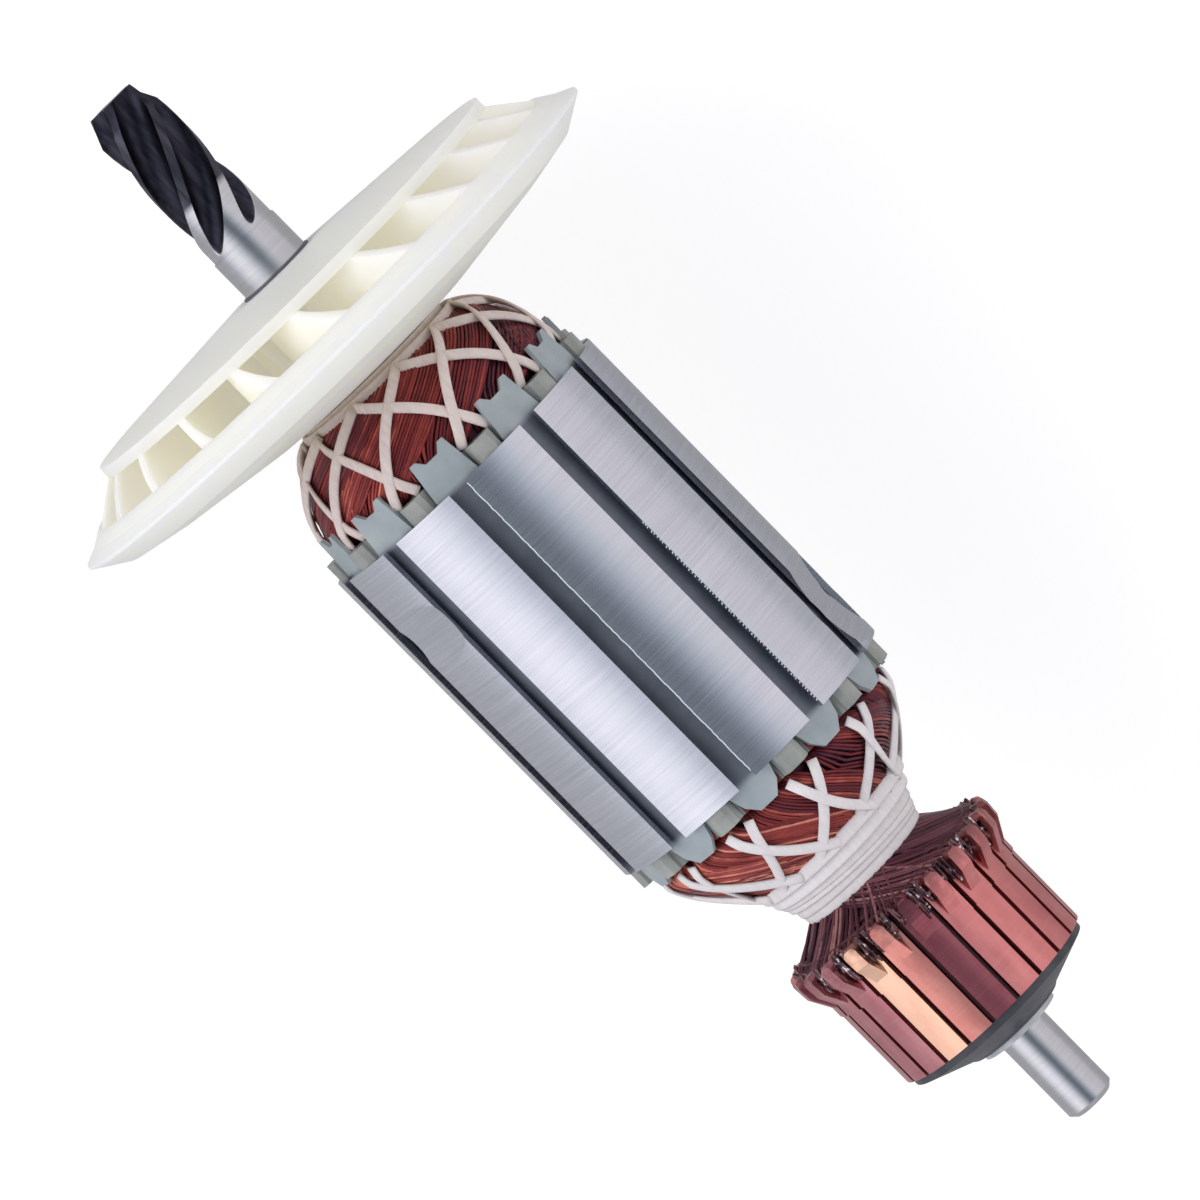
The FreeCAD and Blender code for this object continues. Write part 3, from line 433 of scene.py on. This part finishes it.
def tin_paint():
    """Fused wire ends: dark flux with bright specks of tin."""
    paint = Paint("tinned_ends", (0.1, 0.06, 0.07), 0.8, 0.3)
    specks = paint.span(paint.noise(1500), 0.58, 0.66)
    flux = paint.mix(paint.span(paint.noise(600), 0.35, 0.65), (0.05, 0.03, 0.04), (0.26, 0.13, 0.14))
    paint.feed(Base_Color=paint.mix(specks, flux, (0.85, 0.83, 0.83)))
    return paint.material


# Dressing of the CAD nodes

def dress(node, material, sharp_angle=30.0):
    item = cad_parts[node]
    item.data.materials.clear()
    item.data.materials.append(material)
    item.data.shade_smooth()
    item.data.set_sharp_from_angle(angle=math.radians(sharp_angle))
    return item


def round_edges(item, width):
    rounding = item.modifiers.new("rounding", "BEVEL")
    rounding.width = width * MM
    rounding.segments = 3
    rounding.limit_method = "ANGLE"


# Light and dark colour of each tone of copper, and the bars that aren't pink by number.
# The tones are painted reflections of one copper: peach a painted highlight, brown a painted shade, orange
# and mauve between.
COPPER_REFLECTION_TONES = {
    "pink": ((0.74, 0.27, 0.26), (0.62, 0.2, 0.2)),
    "peach_painted_highlight": ((0.9, 0.57, 0.4), (0.84, 0.46, 0.34)),
    "orange_painted_reflection": ((0.72, 0.3, 0.25), (0.62, 0.2, 0.18)),
    "brown_painted_shade": ((0.68, 0.2, 0.23), (0.42, 0.11, 0.14)),
    "mauve_painted_reflection": ((0.7, 0.31, 0.33), (0.55, 0.2, 0.23)),
}
BAR_REFLECTION_TONES = {2: "brown_painted_shade", 3: "orange_painted_reflection", 4: "peach_painted_highlight", 5: "mauve_painted_reflection", 6: "mauve_painted_reflection", 7: "mauve_painted_reflection"}
SLOT_ENAMEL = [(0.0, (0.2, 0.04, 0.03)), (1.0, (0.3, 0.07, 0.04))]


def dress_core():
    dress("lamination_stack", core_paint(), 12)
    insulator = plain_paint("insulator_plastic", (0.22, 0.235, 0.22), (0.36, 0.37, 0.345), 0.35, 260)
    for node in ("drive_end_insulator", "commutator_end_insulator"):
        round_edges(dress(node, insulator), 0.5)
    fibre = fibre_paint()
    liner = plain_paint("liner_paper", (0.1, 0.12, 0.13), (0.24, 0.27, 0.28), 0.6, 300)
    for slot in range(1, SLOTS + 1):
        dress(f"slot_wedge_{slot:02d}", fibre)
        dress(f"slot_liner_{slot:02d}", liner)
    dress("slot_windings", wire_paint("slot_copper", SLOT_ENAMEL, 0.4))


def dress_commutator():
    dress("commutator_moulding", phenolic_paint())
    paints = {}
    # Each bar takes the copper of its painted reflection tone.
    for tone, (light, dark) in COPPER_REFLECTION_TONES.items():
        paints[tone] = copper_paint(f"bar_copper_painted_{tone}", light, dark)
    for bar in range(1, BARS + 1):
        dress(f"commutator_bar_{bar:02d}", paints[BAR_REFLECTION_TONES.get(bar, "pink")])


def dress_frame():
    dress("pinion_shaft", shaft_paint())
    sleeve = plain_paint("sleeve_plastic", (0.42, 0.44, 0.46), (0.6, 0.61, 0.63), 0.45, 500)
    dress("insulating_sleeve", sleeve)
    dress("fan", fan_paint(), 40)
    dress_core()
    dress_commutator()


# Winding

WIRE = 0.23
STRANDS = 20
UNDERLAY_DEPTH = 1.5

# How the wires of each slot sweep over a dome, in degrees for the share of its length
# and for the square of that share, with a tone. Slots that aren't named use the last.
# The tone is painted light and shade: lighter for bundles turned towards -Y, darker towards +Y.
FRONT_SWINGS = {0: (24, 60, 0.45), 1: (22, 60, 0.66), 2: (22, 60, 0.68), 10: (55, 60, 0.33),
                9: (8, 75, 0.28), 8: (10, 90, 0.28), None: (24, 70, 0.4)}
REAR_SWINGS = {0: (22, 60, 0.55), 1: (34, 60, 0.75), 2: (36, 60, 0.88), 10: (50, 150, 0.4),
               9: (45, 120, 0.34), 8: (45, 120, 0.34), None: (36, 120, 0.5)}
STRAND_TONES = (-0.2, -0.12, -0.05, 0.0, 0.05, 0.12, 0.28)
# Depth and painted shade of the wires at the top and of those under them: the lower wires are painted darker,
# as in the shade of the top ones
LAYERS = ((0.0, 0.0), (0.5, 0.3))
ENAMEL = [(0.0, (0.025, 0.008, 0.013)), (0.15, (0.1, 0.024, 0.042)), (0.45, (0.17, 0.025, 0.028)),
          (0.75, (0.36, 0.062, 0.052)), (1.0, (0.74, 0.27, 0.2))]


def wire_slope(dome, share, turn_rate):
    """Cosine of a wire's angle to the dome's meridian, where it turns at a rate in radians."""
    nudge = 0.01
    station, radius = dome(share)
    ahead_station, ahead_radius = dome(share + nudge)
    arc = math.hypot(ahead_station - station, ahead_radius - radius) / nudge
    return math.cos(math.atan(radius * turn_rate / arc))


def strand_path(dome, swing, home, place, reach, deep):
    """One wire of a bundle, shingled under the next bundle's wires."""
    rise, curl = swing
    wave = random.uniform(0, 6.28)
    wobble = random.uniform(-0.06, 0.06)
    path = []
    steps = 20
    for step in range(steps + 1):
        share = reach * step / steps
        station, radius = dome(share)
        start_gap = math.degrees(2 * WIRE / radius)
        slope = wire_slope(dome, share, math.radians(rise + 2 * curl * share))
        blend = min(1.0, share / 0.25)
        gap = start_gap + (start_gap / slope - start_gap) * blend
        dive = max(0.0, 2.1 * WIRE * gap / SLOT_PITCH - 2 * WIRE / STRANDS) * blend
        out_of_slot = 1.6 * (1 - min(1.0, share / 0.13)) ** 2
        depth = WIRE + deep + (place + STRANDS / 2) * dive + wobble + out_of_slot
        turn = home - rise * share - curl * share ** 2 + place * gap
        turn += 0.35 * math.sin(7 * share + wave) * blend
        path.append(at(station, radius - depth, turn))
    return path


def shaded_underlay(dome, reach):
    """Dark skin under the wires, painted as the shade among the deeper wires, as stations and radii."""
    profile = []
    steps = 14
    for step in range(steps + 1):
        station, radius = dome(reach * step / steps)
        profile.append((station, radius - UNDERLAY_DEPTH))
    return profile


def dome_wires(name, dome, swings, reach, node):
    """Wires of all the slots over one dome, up to a share of its length."""
    skin = Skin()
    # Painted shade: a near-black skin under the top wires.
    skin.lathe(shaded_underlay(dome, reach), 0.02)
    for slot in range(SLOTS):
        rise, curl, tone = swings.get(slot, swings[None])
        home = SLOT_PHASE + slot * SLOT_PITCH
        for strand in range(STRANDS):
            place = strand - (STRANDS - 1) / 2
            # Painted light and shade: the slot's tone lightens or darkens the whole bundle, and strands
            # nearer a bundle's edge are painted darker, as the shade in the gaps between bundles.
            shade = tone + random.choice(STRAND_TONES) - 0.2 * abs(place) / STRANDS
            for deep, darker in LAYERS:
                if deep and strand % 2:
                    continue
                path = strand_path(dome, (rise, curl), home, place, reach, deep)
                skin.sweep(path, WIRE * 1.02, WIRE * 1.02, 6, max(0.0, shade - darker))
    skin.piece(name, wire_paint(name + "_enamel", ENAMEL, 0.3), "enamelled_copper", node)


# Lacing

# Each cord starts this far beside its tooth, then turns with its share of the dome's
# length and with the fourth power of that share.
FRONT_LACE = (6.4, 22.0, 26.0)
REAR_LACE = (7.3, 20.0, 90.0)

# Each wrap round a dome: share of the dome's length, tilt of that share, turn of the
# tilt, lift off the dome and half its width.
FRONT_WRAPS = ((0.94, 0.01, 0, 0.35, 0.7), (0.975, 0.006, 90, 0.3, 0.7))
REAR_WRAPS = ((0.655, 0.02, 10, 0.42, 0.9), (0.72, 0.022, 60, 0.5, 1.25), (0.78, 0.02, 130, 0.45, 1.3),
              (0.84, 0.018, 200, 0.55, 1.3), (0.9, 0.016, 290, 0.48, 1.3), (0.965, 0.01, 20, 0.42, 1.2))

# Side to which the cords lean and their lift off the dome, the lower ones first
CORD_LAYERS = ((1, 0.34), (-1, 0.64))
CORD_HALF_WIDTH = 0.7


def lace_path(dome, way, tooth, side, lift, shares):
    """One cord of the net, from beside its tooth up and over the dome."""
    spread, sweep, curl = way
    first, last = shares
    path = []
    steps = 24
    for step in range(steps + 1):
        share = first + (last - first) * step / steps
        station, radius = dome(share)
        swing = sweep * share + curl * share ** 4 - spread
        rise = lift * min(1.0, 6 * step / steps)
        path.append(at(station, radius + rise, tooth + side * swing))
    return path


def wrap_path(dome, share, tilt, phase, lift):
    """One turn of cord round a dome, with its seam on the far side."""
    path = []
    for turn in range(180, 541, 5):
        local = share + tilt * math.sin(math.radians(turn + phase))
        station, radius = dome(min(1.0, local))
        path.append(at(station, radius + lift, turn))
    return path


def lacing(name, dome, way, shares, wraps, node, paint):
    """Crossing net of cords over a dome, with the wraps that hold it."""
    skin = Skin()
    for slot in range(SLOTS):
        tooth = SLOT_PHASE + (slot + 0.5) * SLOT_PITCH
        for side, lift in CORD_LAYERS:
            slip = random.uniform(-1.8, 1.8)
            path = lace_path(dome, way, tooth + slip, side, lift, shares)
            skin.sweep(path, CORD_HALF_WIDTH, 0.27, 10, random.uniform(0.2, 0.8), 0.75)
    for *route, half_width in wraps:
        skin.sweep(wrap_path(dome, *route), half_width, 0.3, 12, random.uniform(0.2, 0.8), 0.7)
    skin.piece(name, paint, "lacing_cord", node)


# Leads

# Bars whose wires lean the other way, as seen from the camera's side
LEFT_BARS = (3, 4, 5, 6, 7)
LEFT_LAG = -14.0
RIGHT_LAG = 58.0
WIRES_IN_ROW = 5
ROW_DEPTH = 0.62
LEAD_ENAMEL = [(0.0, (0.04, 0.012, 0.02)), (0.5, (0.1, 0.03, 0.045)),
               (0.85, (0.2, 0.07, 0.085)), (1.0, (0.42, 0.2, 0.19))]
LEAD_START = NECK - 1.2


def hook_turn(bar):
    return BAR_PHASE + bar * BAR_PITCH


def lead_path(bar, wire):
    """One wire from under the wraps at the neck to the slit before its bar's hook."""
    place = (wire % WIRES_IN_ROW - 2) * 3.1
    under = ROW_DEPTH * (wire // WIRES_IN_ROW)
    lag = LEFT_LAG if bar + 1 in LEFT_BARS else RIGHT_LAG
    stray = 30 if wire in (2, 6) and bar % 3 == 0 else 0
    bend = lag + random.uniform(-5, 5) - stray
    low = NECK_RADIUS - 0.8 - under + random.uniform(-0.2, 0.1)
    high = RISER_RADIUS + 0.15 - under + random.uniform(-0.25, 0.25)
    end = hook_turn(bar) - BAR_PITCH / 2 + place + random.uniform(-0.6, 0.6)
    path = []
    steps = 14
    for step in range(steps + 1):
        share = step / steps
        station = LEAD_START + (BAR_FRONT + 0.4 - LEAD_START) * share
        radius = low + (high - low) * share ** 1.5
        turn = end + bend * (1 - share) ** 1.25 + place * 0.4 * (1 - share)
        path.append(at(station, radius, turn))
    return path


def lead_shade_cone():
    """Dark skin under the leads, painted as the shade beneath them, closed behind the risers, as stations and
    radii.
    """
    last = BAR_FRONT - 0.9
    rim = 14.8
    profile = []
    steps = 8
    for step in range(steps + 1):
        share = step / steps
        radius = NECK_RADIUS - 1.8 + (rim - NECK_RADIUS) * share ** 1.5
        profile.append((LEAD_START + (last - LEAD_START) * share, radius))
    return profile + [(last, 8.0)]


def lead_wires(paint):
    """Wires that fan out from the neck, side by side, and pass under the hooks."""
    skin = Skin()
    for bar in range(BARS):
        for wire in range(2 * WIRES_IN_ROW):
            path = lead_path(bar, wire)
            skin.sweep(path, 0.25, 0.25, 6, random.uniform(0.1, 1.0))
    # Painted shade: a black skin under the leads.
    skin.lathe(lead_shade_cone(), 0.0)
    skin.piece("commutator_lead_wires", paint, "lead_copper", "commutator_leads")


def loose_end(hook, side):
    """Short end of a wire that lies beside a hook."""
    turn = hook + side * random.uniform(4.4, 7.2)
    radius = RISER_RADIUS + 0.3 + random.uniform(0, 0.35)
    first = BAR_FRONT - 0.5 + random.uniform(0, 0.8)
    length = random.uniform(1.6, 4.4)
    drift = random.uniform(-1.5, 1.5)
    steps = 5
    shares = [step / steps for step in range(steps + 1)]
    return [at(first + length * share, radius - 0.25 * share ** 2, turn + drift * share) for share in shares]


def lead_ends(paint):
    """Fused ends of the wires beside each hook, and the wire that passes under it."""
    ends = Skin()
    for bar in range(BARS):
        hook = hook_turn(bar)
        for wire in range(7):
            path = loose_end(hook, 1 if wire % 2 else -1)
            ends.sweep(path, 0.26, 0.26, 6, random.uniform(0.0, 1.0), 1.0, 0.4)
        crossing = [at(BAR_FRONT + 2.0, RISER_RADIUS + 0.42, hook + 1.2 * step) for step in range(-5, 6)]
        ends.sweep(crossing, 0.4, 0.4, 8, random.uniform(0.0, 0.5))
    ends.piece("lead_ends", paint, "lead_copper")


# Marks

# Turns of the marked lips of two teeth: one with a painted highlight, one with a ragged burr
LIP_PAINTED_HIGHLIGHT = 3.95
RAGGED_LIP = -28.75


def lip_highlight_and_burrs(paint):
    """Painted highlight as a bright line along one tooth's lip, and a ragged burr on the next."""
    marks = Skin()
    lip = []
    # Painted highlight: a bright strip along the lip's edge.
    for step in range(100):
        lip.append(at(CORE_START + 0.4 + 0.5 * step, MARK_RADIUS, LIP_PAINTED_HIGHLIGHT + random.uniform(-0.12, 0.12)))
    marks.sweep(lip, 0.1, 0.04, 4, 1.0)
    for step in range(60):
        station = CORE_START + 19.0 + 0.52 * step + random.uniform(-0.15, 0.15)
        reach = random.uniform(0.15, 0.5)
        edge = RAGGED_LIP + random.uniform(-0.1, 0.1)
        tip = at(station + 0.2, MARK_RADIUS - 0.05, edge + reach)
        marks.sweep([at(station, MARK_RADIUS, edge), tip], 0.12, 0.03, 4, 0.3)
    marks.piece("tooth_lip_highlight_and_burr_marks", paint, "core_steel")


def scratch(paint):
    """Wavering scratch near the commutator end of the tooth with the ragged lip."""
    marks = Skin()
    path = []
    steps = 29
    for step in range(steps + 1):
        share = step / steps
        turn = -33.5 - 3.5 * share + 1.4 * math.sin(5.5 * share) + random.uniform(-0.12, 0.12)
        path.append(at(CORE_END - 13.4 + 10.0 * share, MARK_RADIUS - 0.01, turn))
    marks.sweep(path, 0.04, 0.025, 4, 0.0)
    marks.piece("tooth_scratch", paint, "core_steel")


def joint_shade_ring(paint):
    """Painted shade: a dark ring in the gap where the fan sits against the shaft."""
    ring = Skin()
    path = [at(FAN_FRONT - 0.1, 5.2, turn) for turn in range(0, 361, 5)]
    ring.sweep(path, 0.25, 0.25, 8, 0.0)
    ring.piece("fan_joint_shade", paint, "shaft_steel")


# Camera, floor, world and lamps

# In metres, and in degrees: the camera looks down across the shaft, leans towards the
# drive end and is rolled so that the shaft lies diagonally.
TARGET = Vector((0.06005, 0, 0))
CAMERA_DISTANCE = 1.17
VIEW_WIDTH = 0.1488
CAMERA_LEAN = 5.8
CAMERA_ROLL = 45.437
FLOOR_HEIGHT = cad_low.z - 0.4 * MM
FLOOR_REACH = 6.0
SENSOR = 36.0

# Brightness of the world round the shaft, by degrees from +Z towards +Y
WORLD_LEVELS = ((-180, 0.34), (-128, 0.3), (-104, 0.3), (-88, 0.6), (-74, 0.79), (-60, 0.95), (-48, 0.95),
                (-38, 0.82), (-28, 0.66), (-18, 0.36), (-9, 0.15), (2, 0.13), (11, 0.28), (22, 0.56),
                (34, 0.67), (50, 0.61), (90, 0.56), (104, 0.38), (120, 0.16), (158, 0.13), (180, 0.26))
WORLD_STRENGTH = 1.45
# Place of each lamp in metres, and its power in watts
LAMPS = {
    "key": ((-0.5, -0.95, 0.85), 6.6),
    "fill": ((0.35, 1.2, 0.7), 5.0),
    "front": ((-1.3, -0.2, 0.25), 0.9),
}
LAMP_SIZE = 1.0


def add_camera(scene):
    lean = math.radians(CAMERA_LEAN)
    roll = math.radians(CAMERA_ROLL)
    level = Vector((math.cos(lean), 0, math.sin(lean)))
    across = Vector((0, 1, 0))
    right = level * math.cos(roll) + across * math.sin(roll)
    up = across * math.cos(roll) - level * math.sin(roll)
    back = Vector((-math.sin(lean), 0, math.cos(lean)))
    camera = bpy.data.objects.new("camera", bpy.data.cameras.new("camera"))
    scene.collection.objects.link(camera)
    camera.data.sensor_width = SENSOR
    camera.data.lens = SENSOR * CAMERA_DISTANCE / VIEW_WIDTH
    camera.data.clip_start = 0.05
    camera.data.clip_end = 20
    matrix = Matrix((right, up, back)).transposed().to_4x4()
    matrix.translation = TARGET + back * CAMERA_DISTANCE
    camera.matrix_world = matrix
    scene.camera = camera


def add_floor(scene):
    """Plain floor that the camera sees as white, metal sees dimmed, and that keeps the shadow."""
    sides = ((-1, -1), (1, -1), (1, 1), (-1, 1))
    corners = [(FLOOR_REACH * x, FLOOR_REACH * y, FLOOR_HEIGHT) for x, y in sides]
    mesh = bpy.data.meshes.new("floor")
    mesh.from_pydata(corners, [], [(0, 1, 2, 3)])
    floor = bpy.data.objects.new("floor", mesh)
    scene.collection.objects.link(floor)
    paint = Paint("floor_white", (0.4, 0.4, 0.4), 0.0, 0.9, Emission_Color=(1, 1, 1))
    rays = paint.add("ShaderNodeLightPath").outputs
    seen_in_metal = paint.times(rays["Is Glossy Ray"], 0.2)
    seen = paint.math("MAXIMUM", rays["Is Camera Ray"],
                      paint.math("MAXIMUM", seen_in_metal, rays["Is Transmission Ray"]))
    paint.feed(Emission_Strength=paint.times(seen, 0.68))
    mesh.materials.append(paint.material)


def world_color(degrees, level):
    """Neutral on the fill's side, and cooler the darker it is elsewhere."""
    cool = 0.0 if degrees > 30 else 0.32 * (1 - level)
    return level * (1 - cool), level * (0.97 - 0.4 * cool), level


def add_world(scene):
    """Soft studio light in bands round the shaft, which the camera sees as white."""
    world = bpy.data.worlds.new("studio")
    scene.world = world
    world.use_nodes = True
    tree = world.node_tree
    tree.nodes.clear()

    def add(kind, **inputs):
        node = tree.nodes.new(kind)
        for name, value in inputs.items():
            put(tree, node.inputs[name.replace("_", " ")], value)
        return node

    axes = add("ShaderNodeSeparateXYZ", Vector=add("ShaderNodeTexCoord").outputs["Generated"]).outputs
    turn = tree.nodes.new("ShaderNodeMath")
    turn.operation = "ARCTAN2"
    tree.links.new(axes["Y"], turn.inputs[0])
    tree.links.new(axes["Z"], turn.inputs[1])
    place = add("ShaderNodeMapRange", Value=turn.outputs[0], From_Min=-math.pi, From_Max=math.pi)
    ramp = add("ShaderNodeValToRGB", Fac=place.outputs[0])
    set_stops(ramp, [((degrees + 180) / 360, world_color(degrees, level)) for degrees, level in WORLD_LEVELS])
    lit = add("ShaderNodeBackground", Color=ramp.outputs["Color"], Strength=WORLD_STRENGTH)
    white = add("ShaderNodeBackground", Color=(1, 1, 1), Strength=1.0)
    blend = tree.nodes.new("ShaderNodeMixShader")
    rays = add("ShaderNodeLightPath").outputs
    for socket, source in zip(blend.inputs, (rays["Is Camera Ray"], lit.outputs[0], white.outputs[0])):
        tree.links.new(source, socket)
    add("ShaderNodeOutputWorld", Surface=blend.outputs[0])


def add_lamps(scene):
    """Lamps that light the piece without showing in its metal."""
    for name, (place, power) in LAMPS.items():
        data = bpy.data.lights.new(name, "AREA")
        data.size = LAMP_SIZE
        data.energy = power
        lamp = bpy.data.objects.new(name, data)
        scene.collection.objects.link(lamp)
        lamp.visible_glossy = False
        lamp.location = place
        lamp.rotation_mode = "QUATERNION"
        lamp.rotation_quaternion = (Vector(place) - TARGET).to_track_quat("Z", "Y")


def set_stage():
    scene = bpy.context.scene
    scene.view_settings.view_transform = "Standard"
    add_camera(scene)
    add_floor(scene)
    add_world(scene)
    add_lamps(scene)


set_stage()
dress_frame()
dome_wires("drive_end_wires", front_dome, FRONT_SWINGS, 0.93, "drive_end_windings")
dome_wires("commutator_end_wires", rear_dome, REAR_SWINGS, 0.72, "commutator_end_windings")
lacing("drive_end_cords", front_dome, FRONT_LACE, (0.01, 0.94), FRONT_WRAPS, "drive_end_lacing",
       cord_paint("lacing_cord", (0.55, 0.45, 0.43), (0.76, 0.67, 0.64)))
lacing("commutator_end_cords", rear_dome, REAR_LACE, (0.05, 0.68), REAR_WRAPS, "commutator_end_lacing",
       cord_paint("neck_cord", (0.66, 0.62, 0.62), (0.84, 0.8, 0.8)))
lead_wires(wire_paint("lead_enamel", LEAD_ENAMEL, 0.26))
lead_ends(tin_paint())
# The bright steel serves both the painted highlight and the burrs.
lip_highlight_and_burrs(Paint("burr_and_highlight_steel", (0.76, 0.84, 0.88), 0.6, 0.35).material)
dark_steel = Paint("scratch_and_gap_shade_steel", (0.12, 0.12, 0.14), 0.5, 0.5).material
scratch(dark_steel)
# The dark steel also paints the shade in the fan's joint.
joint_shade_ring(dark_steel)
